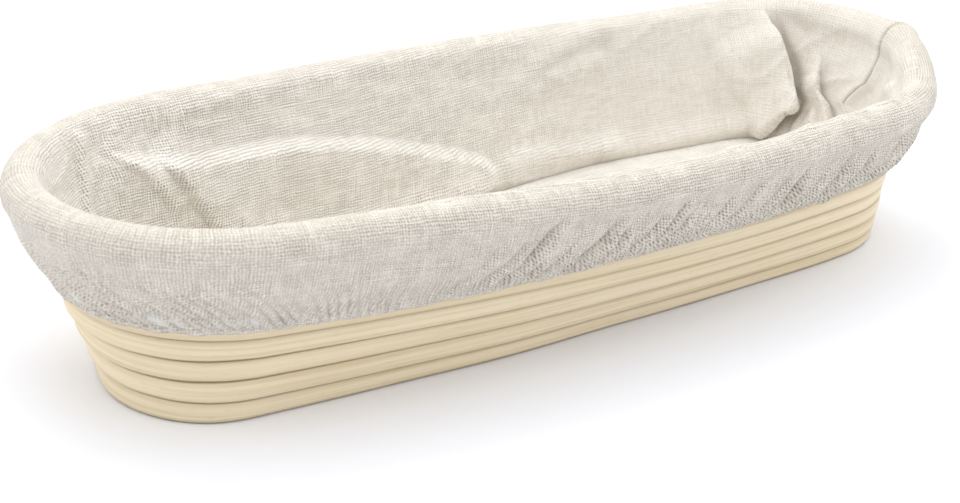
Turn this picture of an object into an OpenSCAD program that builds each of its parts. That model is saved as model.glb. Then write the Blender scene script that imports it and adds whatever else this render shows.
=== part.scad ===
// Oblong proofing basket: cane wound in a rising coil, with a sewn cloth liner over its rim.
// Millimetres, Z up, X along the basket, the middle of the foot on the floor at the origin.

/* [Basket] */
// Length of the foot, over the lowest turn of cane
foot_l = 308; // [280:1:340]
// Width of the foot, over the lowest turn of cane
foot_w = 94; // [88:1:106]
// Radius of the rounded ends of the foot
foot_end_r = 40; // [37:0.5:42]
// Height of the wound wall
wall_h = 64; // [56:1:72]
// How far the wall leans out from foot to rim, on each side
wall_lean = 18.5; // [12:0.5:22]
// How much of that lean is held back for the upper part
wall_bow = 7; // [0:0.5:9]

/* [Cane] */
// Layers of cane in the wall
layers = 10; // [8:1:11]
// Thickness of the wall cane, from outside to inside
cane_t = 5.5; // [5:0.1:6.5]
// Rounding of the wall cane's outer edges
cane_edge = 0.9; // [0.5:0.1:1.2]
// Width of the base cane
base_cane_w = 7.2; // [6.4:0.1:8]
// Thickness of the base cane
base_cane_t = 5; // [4:0.1:6]
// Gap between neighbouring turns of the wall
turn_gap = 0.5; // [0.45:0.05:0.8]
// Gap between neighbouring turns of the base
base_gap = 1; // [0.9:0.05:1.4]
// Length of a splice between two wall canes
splice_l = 24; // [16:1:30]
// Gap in a splice
splice_gap = 0.4; // [0.3:0.05:0.6]

/* [Brads] */
// Diameter of a brad
brad_d = 1.2; // [1:0.1:1.6]
// Length of a brad that holds two turns together
brad_l = 8; // [7:0.5:9]
// Brads around each turn of the wall
wall_brad_count = 6; // [4:1:8]
// Brads around each turn of the base
base_brad_count = 4; // [2:1:6]

/* [Liner] */
// Thickness of the cloth
cloth_t = 0.9; // [0.8:0.1:1.2]
// Room between the cloth and the inside of the wall
liner_in_gap = 1.6; // [1.5:0.1:2.4]
// Room between the cloth and the outside of the wall
liner_out_gap = 1.2; // [1.1:0.1:2]
// Height of the cloth over the cane at the rim
rim_rise = 1.4; // [1.2:0.1:3]
// Height of the hem above the floor
hem_z = 31.5; // [24:0.5:36]
// How far the cuff bulges over the hem
cuff_bulge = 2.4; // [1:0.2:4]
// Depth of the gathers above the hem
gather_depth = 2; // [0:0.2:2.4]
// How far above the elastic the gathers are deepest
gather_rise = 2; // [1:0.5:4]
// Gathers around the cuff
gather_count = 25; // [20:1:26]
// How far below the rim the cuff starts to hang free
shoulder_drop = 3; // [2:0.5:5]
// Width of the seam allowance under the floor panel
seam_w = 5; // [4:0.5:7]
// Gap in the seam at the right end
seam_gap = 0.2; // [0.2:0.05:0.4]
// Room between the liner and the base cane
rest_gap = 0.3; // [0.2:0.05:0.6]

/* [Elastic] */
// Thickness of the elastic in the hem
elastic_t = 0.8; // [0.6:0.1:1.2]
// Width of the elastic in the hem
elastic_w = 5; // [4:0.5:6]
// Room around the elastic in its tunnel
elastic_gap = 0.3; // [0.25:0.05:0.5]

/* [Hidden] */

cane_colour = [0.86, 0.78, 0.60];
steel_colour = [0.62, 0.62, 0.60];
cloth_colour = [0.87, 0.85, 0.80];
elastic_colour = [0.93, 0.92, 0.89];

// The plan of the foot is an oval of four arcs; every level of the wall is an offset of it.
foot_a = foot_l / 2;
foot_b = foot_w / 2;
end_steps = 9;
side_steps = 3;
turn_steps = 2 * (end_steps + side_steps);

function side_radius(a, b, r) = ((a - r) * (a - r) + b * b - r * r) / (2 * (b - r));
function end_angle(a, b, r) = atan2(side_radius(a, b, r) - b, a - r);
function arc_at(x, y, r, angle) = [x + r * cos(angle), y + r * sin(angle), cos(angle), sin(angle)];

// A point of an oval and its outward direction, i steps on from the right end's front corner.
function oval_at(a, b, r, i) =
    let (k = i - turn_steps * floor(i / turn_steps),
         big = side_radius(a, b, r),
         q = end_angle(a, b, r),
         half = end_steps + side_steps)
    k <= end_steps ? arc_at(a - r, 0, r, q * (2 * k / end_steps - 1)) :
    k <= half ? arc_at(0, b - big, big, q + (180 - 2 * q) * (k - end_steps) / side_steps) :
    k <= half + end_steps ? arc_at(r - a, 0, r, 180 + q * (2 * (k - half) / end_steps - 1)) :
    arc_at(0, big - b, big, 180 + q + (180 - 2 * q) * (k - half - end_steps) / side_steps);

function foot_at(i) = oval_at(foot_a, foot_b, foot_end_r, i);
function offset_point(p, out, z) = [p[0] + p[2] * out, p[1] + p[3] * out, z];

// How far out the wall's outer face stands at a height.
function lean_at(z) = (wall_lean - wall_bow) * z / wall_h + wall_bow * pow(z / wall_h, 2);

// The coil of the wall climbs clockwise seen from above, from a shaved end at the back.
pitch = wall_h / layers;
shaved_steps = 10;
coil_at = 11;
coil_from = shaved_steps / turn_steps;
coil_to = layers + 1 - coil_from;
coil_rings = turn_steps * (layers + 1) - 2 * shaved_steps;
// The splices are a step on from the coil's start, at the back, after whole turns.
lower_rings = 3 * turn_steps + 1;
middle_rings = 7 * turn_steps + 1;
face_tilt = 0.5;
eps = 0.001;

function turn_low(t) = t < coil_from + 1 - eps ? 0 : pitch * (t - 1) + turn_gap / 2;
function turn_high(t) = t > coil_to - 1 + eps ? wall_h : pitch * t - turn_gap / 2;
function turn_of(ring) = coil_from + ring / turn_steps;
function step_of(ring) = coil_at - ring;

// The cane's section: a flat outer face with rounded edges, and a rounded inside.
function cane_section(low, high) =
    let (e = min(cane_edge, (high - low) / 4))
    [[-e, low], [0, low + e], [0, high - e], [-e, high],
     [-cane_t * 0.6, high], [-cane_t, (low + high) / 2], [-cane_t * 0.6, low]];

// A ring of the coil. A bevel slides the ring's points along the cane, for a splice.
function coil_ring(ring, bevel = 0) =
    let (low = turn_low(turn_of(ring)),
         high = turn_high(turn_of(ring)),
         mid = (low + high) / 2)
    [for (p = cane_section(low, high))
        offset_point(foot_at(step_of(ring) + bevel * (0.5 + p[0] / cane_t)),
                     lean_at(mid) + face_tilt * (lean_at(p[1]) - lean_at(mid)) + p[0], p[1])];

// One step of the coil at the back of the basket is this long.
step_l = norm([for (k = [0, 1]) coil_ring(lower_rings)[0][k] - coil_ring(lower_rings + 1)[0][k]]);
bevel_steps = splice_l / step_l;
gap_steps = splice_gap / step_l * splice_l / cane_t;

function coil_rings_between(first, last, bevel_first, bevel_last) =
    [for (r = [first : 1 : last])
        r == first && bevel_first ? coil_ring(r + gap_steps / 2, bevel_steps) :
        r == last && bevel_last ? coil_ring(r - gap_steps / 2, bevel_steps) : coil_ring(r)];

// The base is the same cane wound flat, inside the lowest turn of the wall.
base_pitch = base_cane_w + base_gap;
base_a = foot_a - cane_t - turn_gap;
base_b = foot_b - cane_t - turn_gap;
base_r = foot_end_r - cane_t - turn_gap;
base_from = 6 / turn_steps;
base_to = floor(turn_steps * ((base_b - base_gap / 2) / base_pitch + 0.45)) / turn_steps;
base_rings = round(turn_steps * (base_to - base_from));

function spiral_out(t) = t < base_from + 1 - eps ? 0 : base_pitch * (t - 1) + base_gap / 2;
function spiral_in(t) = min(base_pitch * t, base_b) - base_gap / 2;
function spiral_point(t, in, z) =
    let (p = oval_at(base_a - in, base_b - in, base_r * (base_b - in) / base_b,
                     coil_at - turn_steps * (t - base_from)))
    [p[0], p[1], z];

base_section = [[0.1, 0], [0, 0.45], [0.25, 1], [0.75, 1], [1, 0.45], [0.9, 0]];

function spiral_ring(t) =
    [for (p = base_section)
        spiral_point(t, spiral_out(t) + p[0] * (spiral_in(t) - spiral_out(t)), p[1] * base_cane_t)];

wall_rings = coil_rings_between(0, coil_rings, false, false);
flat_rings = [for (k = [0 : base_rings]) spiral_ring(base_from + k / turn_steps)];

// The least gap between a winding and its own next turn, measured on its points.
function least_gap(rings) =
    min([for (k = [0 : len(rings) - 1 - turn_steps + 1])
        min([for (j = [turn_steps - 1 : turn_steps + 1])
            k + j < len(rings) ?
                min([for (p = rings[k], q = rings[k + j]) norm(p - q)]) : wall_h])]);

echo(wall_turns = coil_rings / turn_steps, wall_least_gap = least_gap(wall_rings));
echo(base_turns = base_rings / turn_steps, base_least_gap = least_gap(flat_rings));

// A closed skin over a row of rings with equally many points, with triangles only.
function skin_faces(m, n) =
    [for (j = [0 : m - 2], k = [0 : n - 1])
        each [[j * n + k, (j + 1) * n + (k + 1) % n, j * n + (k + 1) % n],
              [j * n + k, (j + 1) * n + k, (j + 1) * n + (k + 1) % n]]];
function fan_faces(n, at, flip) =
    [for (k = [1 : n - 2])
        flip ? [at, at + k + 1, at + k] : [at, at + k, at + k + 1]];
function strip_faces(n, at, flip) =
    [for (k = [0 : n / 2 - 2])
        each [flip ? [at + k, at + n - 1 - k, at + k + 1] : [at + k, at + k + 1, at + n - 1 - k],
              flip ? [at + k + 1, at + n - 1 - k, at + n - 2 - k] :
                     [at + k + 1, at + n - 2 - k, at + n - 1 - k]]];

module swept(rings) {
    m = len(rings);
    n = len(rings[0]);
    polyhedron(points = [for (ring = rings) each ring],
               faces = concat(skin_faces(m, n), fan_faces(n, 0, false),
                              fan_faces(n, (m - 1) * n, true)));
}

module swept_sheet(rings) {
    m = len(rings);
    n = len(rings[0]);
    polyhedron(points = [for (ring = rings) each ring],
               faces = concat(skin_faces(m, n), strip_faces(n, 0, false),
                              strip_faces(n, (m - 1) * n, true)));
}

module swept_loop(rings) {
    m = len(rings);
    n = len(rings[0]);
    polyhedron(points = [for (ring = rings) each ring],
               faces = [for (f = skin_faces(m + 1, n)) [for (v = f) v % (m * n)]]);
}

// Basket

module base_cane() {
    color(cane_colour)
        swept(flat_rings);
}

module wall_cane_lower() {
    color(cane_colour)
        swept(coil_rings_between(0, lower_rings, false, true));
}

module wall_cane_middle() {
    color(cane_colour)
        swept(coil_rings_between(lower_rings, middle_rings, true, true));
}

module wall_cane_upper() {
    color(cane_colour)
        swept(coil_rings_between(middle_rings, coil_rings, true, false));
}

// A brad from one point towards another, from the middle of the way between them.
module brad(from, to) {
    way = to - from;
    flat = norm([way[0], way[1]]);
    translate((from + to) / 2)
        rotate([0, atan2(flat, way[2]), atan2(way[1], way[0])])
            cylinder(h = brad_l, d = brad_d, center = true);
}

function ring_middle(ring) = [for (k = [0 : 2]) sum_of(ring, k) / len(ring)];
function sum_of(ring, k, n = 0) = n == len(ring) ? 0 : ring[n][k] + sum_of(ring, k, n + 1);

// Each turn of the base is nailed sideways to the next, and the outer one to the wall.
// The half keeps the brads of neighbouring turns from meeting.
base_brad_step = turn_steps / (base_brad_count + 0.5);

module base_brads() {
    color(steel_colour) {
        for (k = [base_rings - turn_steps / 2 : -base_brad_step : turn_steps])
            brad(ring_middle(flat_rings[round(k)]), ring_middle(flat_rings[round(k) - turn_steps]));
        for (k = [wall_brad_first - turn_steps + wall_brad_step / 2 : 2 * wall_brad_step : turn_steps - 1])
            brad(ring_middle(flat_rings[round(k)]), ring_middle(wall_rings[round(k)]));
    }
}

// Each turn of the wall is nailed down to the one below, and the next turn hides the nails.
wall_brad_step = turn_steps / (wall_brad_count + 0.5);
wall_brad_first = turn_steps + 6;

module wall_brads() {
    color(steel_colour)
        for (k = [wall_brad_first : wall_brad_step : coil_rings - 2])
            brad(ring_middle(wall_rings[round(k)]), ring_middle(wall_rings[round(k) - turn_steps]));
}

// Liner

// Steps round the oval for a share of the girth, from the right tip round the back.
end_girth = (foot_end_r + wall_lean / 2) * end_angle(foot_a, foot_b, foot_end_r) * PI / 180;
side_girth = side_radius(foot_a, foot_b, foot_end_r)
    * (180 - 2 * end_angle(foot_a, foot_b, foot_end_r)) * PI / 180;
half_girth = 2 * end_girth + side_girth;
half_steps = end_steps + side_steps;

function half_step_at(l) =
    l <= end_girth ? end_steps / 2 * (1 + l / end_girth) :
    l <= end_girth + side_girth ? end_steps + side_steps * (l - end_girth) / side_girth :
    half_steps + end_steps / 2 * (l - end_girth - side_girth) / end_girth;
function step_at(s) =
    s < 0.5 ? half_step_at(2 * s * half_girth) : half_steps + half_step_at((2 * s - 1) * half_girth);

// Each gather takes two steps of the band.
band_steps = 2 * gather_count;

// Heights and offsets that the cloth's middle line passes, from the floor seam to the hem.
seam_z = base_cane_t + rest_gap + cloth_t / 2;
middle_z = wall_h / 2;
rim_z = wall_h + rim_rise + cloth_t / 2;
bulge_z = (wall_h + hem_z) / 2;
tunnel_h = elastic_w + 2 * elastic_gap;
tunnel_out = elastic_t + 2 * elastic_gap + cloth_t;
tunnel_z = hem_z + cloth_t + tunnel_h;
function cloth_in(z) = lean_at(z) - cane_t - liner_in_gap - cloth_t / 2;
function cloth_out(z) = lean_at(z) + liner_out_gap + cloth_t / 2;

// Main folds inside: place as a share of the girth, half width as a share of it, and depth.
folds = [[0.04, 0.02, 6], [0.1, 0.02, 3], [0.34, 0.05, 5], [0.42, 0.02, 4],
         [0.58, 0.03, 3], [0.75, 0.06, 2], [0.93, 0.02, 4]];

function fold_at(s) = max([for (f = folds) f[2] * exp(-pow((s - f[0]) / f[1], 2))]);

// The cloth's middle line at one step of the band.
function cloth_line(n) =
    let (f = fold_at(n / band_steps), g = gather_depth * (n % 2))
    [[cloth_in(seam_z) - seam_w, seam_z],
     [cloth_in(seam_z), seam_z],
     [cloth_in(middle_z) - f, middle_z],
     [cloth_in(wall_h) - f * 0.2, wall_h - cloth_t],
     [lean_at(wall_h) - cane_t * 0.8, rim_z],
     [lean_at(wall_h) + cloth_t, rim_z],
     [cloth_out(wall_h) + cloth_t / 2, wall_h - shoulder_drop],
     [cloth_out(bulge_z) + cuff_bulge + g * 0.5, bulge_z],
     [cloth_out(tunnel_z + gather_rise) + tunnel_out + g, tunnel_z + gather_rise],
     [cloth_out(hem_z) + tunnel_out, hem_z + cloth_t / 2],
     [cloth_out(hem_z), hem_z + cloth_t / 2],
     [cloth_out(tunnel_z), tunnel_z]];

// Both faces of a line that has the cloth's thickness: out along one, back along the other.
function across(a, b) = [a[1] - b[1], b[0] - a[0]] / norm(b - a);
function mitre(line, k) =
    let (u = k == 0 ? across(line[0], line[1]) : across(line[k - 1], line[k]),
         v = k == len(line) - 1 ? u : across(line[k], line[k + 1]))
    (u + v) / (1 + u * v);
function both_faces(line) =
    concat([for (k = [0 : len(line) - 1]) line[k] + mitre(line, k) * cloth_t / 2],
           [for (k = [len(line) - 1 : -1 : 0]) line[k] - mitre(line, k) * cloth_t / 2]);

// The side is one band, from the seam at the right end round to the same seam.
module liner_side() {
    color(cloth_colour)
        swept_sheet([for (n = [0 : band_steps])
            let (p = foot_at(step_at(n / band_steps)),
                 apart = n == 0 ? seam_gap / 2 : n == band_steps ? -seam_gap / 2 : 0)
            [for (q = both_faces(cloth_line(n)))
                offset_point(p, q[0], q[1]) + [0, apart, 0]]]);
}

// The floor panel lies on the seam allowance of the band.
module liner_floor() {
    edge = cloth_in(seam_z + cloth_t) - cloth_t / 2 - rest_gap;
    color(cloth_colour)
        translate([0, 0, seam_z + cloth_t / 2])
            linear_extrude(height = cloth_t)
                polygon([for (n = [0 : band_steps - 1])
                    let (p = offset_point(foot_at(step_at(n / band_steps)), edge, 0))
                    [p[0], p[1]]]);
}

// The elastic is a flat band in the tunnel of the hem.
module hem_elastic() {
    low = hem_z + cloth_t + elastic_gap;
    inside = cloth_out(low) + cloth_t / 2 + elastic_gap;
    high = low + elastic_w;
    lean = lean_at(high) - lean_at(low);
    band = [[inside, low], [inside + elastic_t, low],
            [inside + elastic_t + lean, high], [inside + lean, high]];
    color(elastic_colour)
        swept_loop([for (n = [0 : band_steps - 1])
            [for (q = band) offset_point(foot_at(step_at(n / band_steps)), q[0], q[1])]]);
}

base_cane();
wall_cane_lower();
wall_cane_middle();
wall_cane_upper();
base_brads();
wall_brads();
liner_floor();
liner_side();
hem_elastic();
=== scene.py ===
import math

import bpy
import numpy as np
from mathutils import Matrix, Vector


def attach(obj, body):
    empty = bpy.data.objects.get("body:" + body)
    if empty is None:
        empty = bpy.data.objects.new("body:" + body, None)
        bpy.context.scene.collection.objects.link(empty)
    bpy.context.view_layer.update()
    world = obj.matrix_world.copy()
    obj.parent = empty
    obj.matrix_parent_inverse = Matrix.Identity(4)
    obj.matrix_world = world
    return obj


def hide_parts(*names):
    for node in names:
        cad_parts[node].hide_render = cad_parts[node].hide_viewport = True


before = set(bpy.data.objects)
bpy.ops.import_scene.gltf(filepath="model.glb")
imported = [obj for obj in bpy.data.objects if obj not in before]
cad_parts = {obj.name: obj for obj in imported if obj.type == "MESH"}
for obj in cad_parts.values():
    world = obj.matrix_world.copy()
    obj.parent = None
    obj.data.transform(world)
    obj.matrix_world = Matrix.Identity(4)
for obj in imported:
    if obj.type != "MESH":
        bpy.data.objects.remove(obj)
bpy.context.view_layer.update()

MM = 0.001

# The basket's sizes, in millimetres, as the solids have them: half the foot's length and width,
# the radius of its ends, and the wall's height, lean and bow.
FOOT = (154.0, 47.0, 40.0)
WALL_H, WALL_LEAN, WALL_BOW = 64.0, 18.5, 7.0
LAYERS, CANE_T = 10, 5.5
PITCH = WALL_H / LAYERS
# Steps round the oval, each a ring of the solids; the coil starts and ends shaved.
END_STEPS, SIDE_STEPS = 9, 3
HALF_STEPS = END_STEPS + SIDE_STEPS
TURN_STEPS = 2 * HALF_STEPS
COIL_AT, SHAVED_STEPS = 11, 10
COIL_FROM = SHAVED_STEPS / TURN_STEPS
COIL_TO = LAYERS + 1 - COIL_FROM
COIL_RINGS = TURN_STEPS * (LAYERS + 1) - 2 * SHAVED_STEPS
LOWER_RINGS, MIDDLE_RINGS = 3 * TURN_STEPS + 1, 7 * TURN_STEPS + 1
# The base is wound flat inside the lowest turn of the wall.
BASE_W, BASE_T, BASE_GAP, WALL_GAP = 7.2, 5.0, 1.0, 0.5
BASE_A, BASE_B, BASE_R = (v - CANE_T - WALL_GAP for v in FOOT)
BASE_PITCH = BASE_W + BASE_GAP
BASE_FROM, BASE_LAST_TURN = 6, 0.45
BASE_TO = math.floor(TURN_STEPS * ((BASE_B - BASE_GAP / 2) / BASE_PITCH + BASE_LAST_TURN))
BASE_RINGS = BASE_TO - BASE_FROM
HEM_Z = 31.5


# Plan of the basket: an oval of four arcs.
def long_arcs(a, b, r):
    """The radius of an oval's long arcs, and the angle at which they meet its ends."""
    big = ((a - r) ** 2 + b**2 - r**2) / (2 * (b - r))
    return big, np.arctan2(big - b, a - r)


def oval_steps(a, b, r, i):
    """Points and outward directions on an oval, i steps on from the right end's front corner."""
    i = np.mod(np.asarray(i, float), TURN_STEPS)
    big, q = long_arcs(a, b, r)
    front = i >= HALF_STEPS
    k = np.where(front, i - HALF_STEPS, i)
    end = k <= END_STEPS
    angle = np.where(
        end, q * (2 * k / END_STEPS - 1), q + (np.pi - 2 * q) * (k - END_STEPS) / SIDE_STEPS
    )
    x = np.where(end, a - r + r * np.cos(angle), big * np.cos(angle))
    y = np.where(end, r * np.sin(angle), b - big + big * np.sin(angle))
    turn = np.where(front, -1.0, 1.0)
    return np.stack([turn * x, turn * y], -1), np.stack(
        [turn * np.cos(angle), turn * np.sin(angle)], -1
    )


SIDE_R, END_Q = long_arcs(*FOOT)
END_GIRTH = (FOOT[2] + WALL_LEAN / 2) * END_Q
SIDE_GIRTH = SIDE_R * (math.pi - 2 * END_Q)
HALF_GIRTH = 2 * END_GIRTH + SIDE_GIRTH
GIRTH = 2 * HALF_GIRTH


def step_at(s):
    """Steps round the oval for a share of the girth, from the right tip round the back."""
    s = np.mod(s, 1.0)
    l = np.mod(2 * s, 1.0) * HALF_GIRTH
    k = np.interp(
        l,
        [0, END_GIRTH, END_GIRTH + SIDE_GIRTH, HALF_GIRTH],
        [END_STEPS / 2, END_STEPS, HALF_STEPS, HALF_STEPS + END_STEPS / 2],
    )
    return k + np.where(s >= 0.5, HALF_STEPS, 0)


def share_of(i):
    """Share of the girth, from the right tip round the back, for steps round the oval."""
    i = np.mod(i, TURN_STEPS)
    tip = END_STEPS / 2
    l = np.interp(
        np.mod(i - tip, HALF_STEPS),
        [0, tip, tip + SIDE_STEPS, HALF_STEPS],
        [0, END_GIRTH, END_GIRTH + SIDE_GIRTH, HALF_GIRTH],
    )
    return (l / HALF_GIRTH + np.where((i >= tip) & (i < HALF_STEPS + tip), 0, 1)) / 2


# How far values round the girth are smoothed, in thousandths of it.
SOFTEN = 20


def by_girth(*points):
    """A smooth value round the girth from pairs of share and value."""
    s, v = (np.array(x, float) for x in zip(*points))
    s, v = np.concatenate([s - 1, s, s + 1]), np.tile(v, 3)
    fine = np.linspace(-0.2, 1.2, 1401)
    curve = np.interp(fine, s, v)
    soft = np.hanning(2 * SOFTEN + 1)
    curve = np.convolve(np.pad(curve, SOFTEN, "edge"), soft / soft.sum(), "valid")
    return lambda share: np.interp(np.mod(share, 1.0), fine, curve)


# How the hand-wound basket differs from its plan, round the girth: its turns' height as a share,
# and how far its foot stands out.
TALLER = by_girth(
    (0, -0.03), (0.25, 0), (0.45, 0.13), (0.58, 0.13), (0.75, -0.02), (0.85, -0.07)
)
TALLER_FADE = 24.0
FOOT_OUT = by_girth(
    (0, 0), (0.4, 0), (0.45, -5), (0.48, -5), (0.5, -4), (0.51, -2), (0.538, 1.3),
    (0.564, 3.3), (0.575, 3.2), (0.594, 1.8), (0.66, -0.5), (0.705, -0.6), (0.76, -2.5),
    (0.813, -2), (0.85, -1.5), (0.89, 0), (0.914, 0), (0.932, 1), (0.952, 1.6), (0.98, 1),
)
FOOT_SPREAD, FOOT_FADE_Z = 0.8, 34.0


def foot_out(share, z):
    """How far the wall stands out of its plan near the foot."""
    return (FOOT_OUT(share) + FOOT_SPREAD) * smooth(1 - z / FOOT_FADE_Z)


def stretch_up(z, share):
    """Heights on the wall: the lower turns are taller at the left, and all are lower at the right."""
    taller = TALLER(share)
    return z * (1 + np.where(taller > 0, taller * smooth((WALL_H - z) / TALLER_FADE), taller))


def lean_at(z):
    """How far the wall's outer face stands out of the foot's plan at a height."""
    u = np.clip(np.asarray(z, float) / WALL_H, 0, 1.2)
    return (WALL_LEAN - WALL_BOW) * u + WALL_BOW * u * u


# The right end's rim stands a little further back than its foot.
BEND, BEND_FROM, BEND_OVER, BEND_POWER = 5.0, 30.0, 140.0, 1.3


def settle(points):
    """Points of the basket or the liner, moved as the right end bends."""
    x, z = points[..., 0], points[..., 2]
    points = points.copy()
    bend = BEND * smooth((x - BEND_FROM) / BEND_OVER)
    points[..., 1] += bend * np.maximum(z / WALL_H, 0) ** BEND_POWER
    return points


def off_plan(plan, outward, out, z):
    """Points of the basket or the liner, at offsets from their plan and at heights."""
    xy = plan + outward * np.asarray(out)[..., None]
    return settle(np.concatenate([xy, np.asarray(z)[..., None]], -1))


def unit(vectors):
    """The same vectors with a length of 1."""
    return vectors / np.linalg.norm(vectors, axis=-1, keepdims=True)


def lengths_along(points):
    """How far each point of a line lies along it."""
    return np.concatenate([[0], np.cumsum(np.linalg.norm(np.diff(points, axis=0), axis=1))])


def smooth(x):
    """An even rise from 0 to 1 that starts and ends level."""
    x = np.clip(x, 0, 1)
    return x * x * (3 - 2 * x)


def hump(x, width):
    """A bell curve: 1 at 0, and near 0 past twice its width."""
    return np.exp(-((x / width) ** 2))


def grid_noise(u, v, seed, wrap=None):
    """Smooth random values from -1 to 1, one cell wide; wrap closes it along u."""
    n = 512
    table = np.random.default_rng(seed).uniform(-1, 1, (n, n))
    iu, iv = np.floor(u).astype(int), np.floor(v).astype(int)
    fu, fv = smooth(u - iu), smooth(v - iv)
    m = wrap or n
    a0, a1 = np.mod(np.mod(iu, m), n), np.mod(np.mod(iu + 1, m), n)
    b0, b1 = np.mod(iv, n), np.mod(iv + 1, n)
    low = table[a0, b0] * (1 - fu) + table[a1, b0] * fu
    high = table[a0, b1] * (1 - fu) + table[a1, b1] * fu
    return low * (1 - fv) + high * fv


def girth_noise(u, cell, v, seed):
    """Smooth random values round the girth, in cells of a width, closed where it ends."""
    return grid_noise(u / cell, v, seed, round(GIRTH / cell))


# Materials


class Nodes:
    """A short way to write a material's nodes."""

    def __init__(self, name):
        self.material = bpy.data.materials.new(name)
        self.material.use_nodes = True
        self.tree = self.material.node_tree
        self.shader = self.tree.nodes["Principled BSDF"]

    def add(self, kind, **values):
        """A new node, with its settings and inputs by name."""
        node = self.tree.nodes.new(kind)
        for key, value in values.items():
            if hasattr(node, key):
                setattr(node, key, value)
            else:
                node.inputs[key].default_value = value
        return node

    def put(self, value, socket):
        """Links an output to a socket, or sets the socket to a plain value."""
        if hasattr(value, "links"):
            self.tree.links.new(value, socket)
        else:
            socket.default_value = value

    def math(self, operation, *values):
        node = self.add("ShaderNodeMath", operation=operation)
        for socket, value in zip(node.inputs, values):
            self.put(value, socket)
        return node.outputs[0]

    def mix(self, share, a, b):
        node = self.add("ShaderNodeMix", data_type="RGBA")
        self.put(share, node.inputs["Factor"])
        self.put(a, node.inputs[6])
        self.put(b, node.inputs[7])
        return node.outputs[2]

    def tinted(self, colour, *tints):
        """A colour with others laid over it in turn, each by its share."""
        for share, *tint in tints:
            colour = self.mix(share, colour, linear(*tint))
        return colour

    def range(self, value, low, high, to_low=0.0, to_high=1.0):
        ends = {"From Min": low, "From Max": high, "To Min": to_low, "To Max": to_high}
        node = self.add("ShaderNodeMapRange", interpolation_type="SMOOTHSTEP", **ends)
        self.put(value, node.inputs["Value"])
        return node.outputs["Result"]

    def noise(self, vector, scale=(1, 1, 1), detail=2.0, rough=0.5):
        place = self.add("ShaderNodeMapping", Scale=scale)
        self.put(vector, place.inputs["Vector"])
        node = self.add("ShaderNodeTexNoise", Scale=1.0, Detail=detail, Roughness=rough)
        self.put(place.outputs[0], node.inputs["Vector"])
        return node.outputs[0]

    def attribute(self, name):
        return self.add("ShaderNodeAttribute", attribute_name=name).outputs["Fac"]

    def uv(self, name):
        return self.add("ShaderNodeUVMap", uv_map=name).outputs[0]

    def bump(self, height, strength, distance):
        node = self.add("ShaderNodeBump", Strength=strength, Distance=distance)
        self.put(height, node.inputs["Height"])
        self.put(node.outputs[0], self.shader.inputs["Normal"])

    def set(self, **values):
        """Sets inputs of the surface, named with _ for a space."""
        for key, value in values.items():
            self.put(value, self.shader.inputs[key.replace("_", " ")])


def linear(r, g, b):
    """A colour given as 8-bit screen values."""
    c = [(v / 255 / 12.92 if v <= 10 else ((v / 255 + 0.055) / 1.055) ** 2.4) for v in (r, g, b)]
    return (*c, 1.0)


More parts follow.
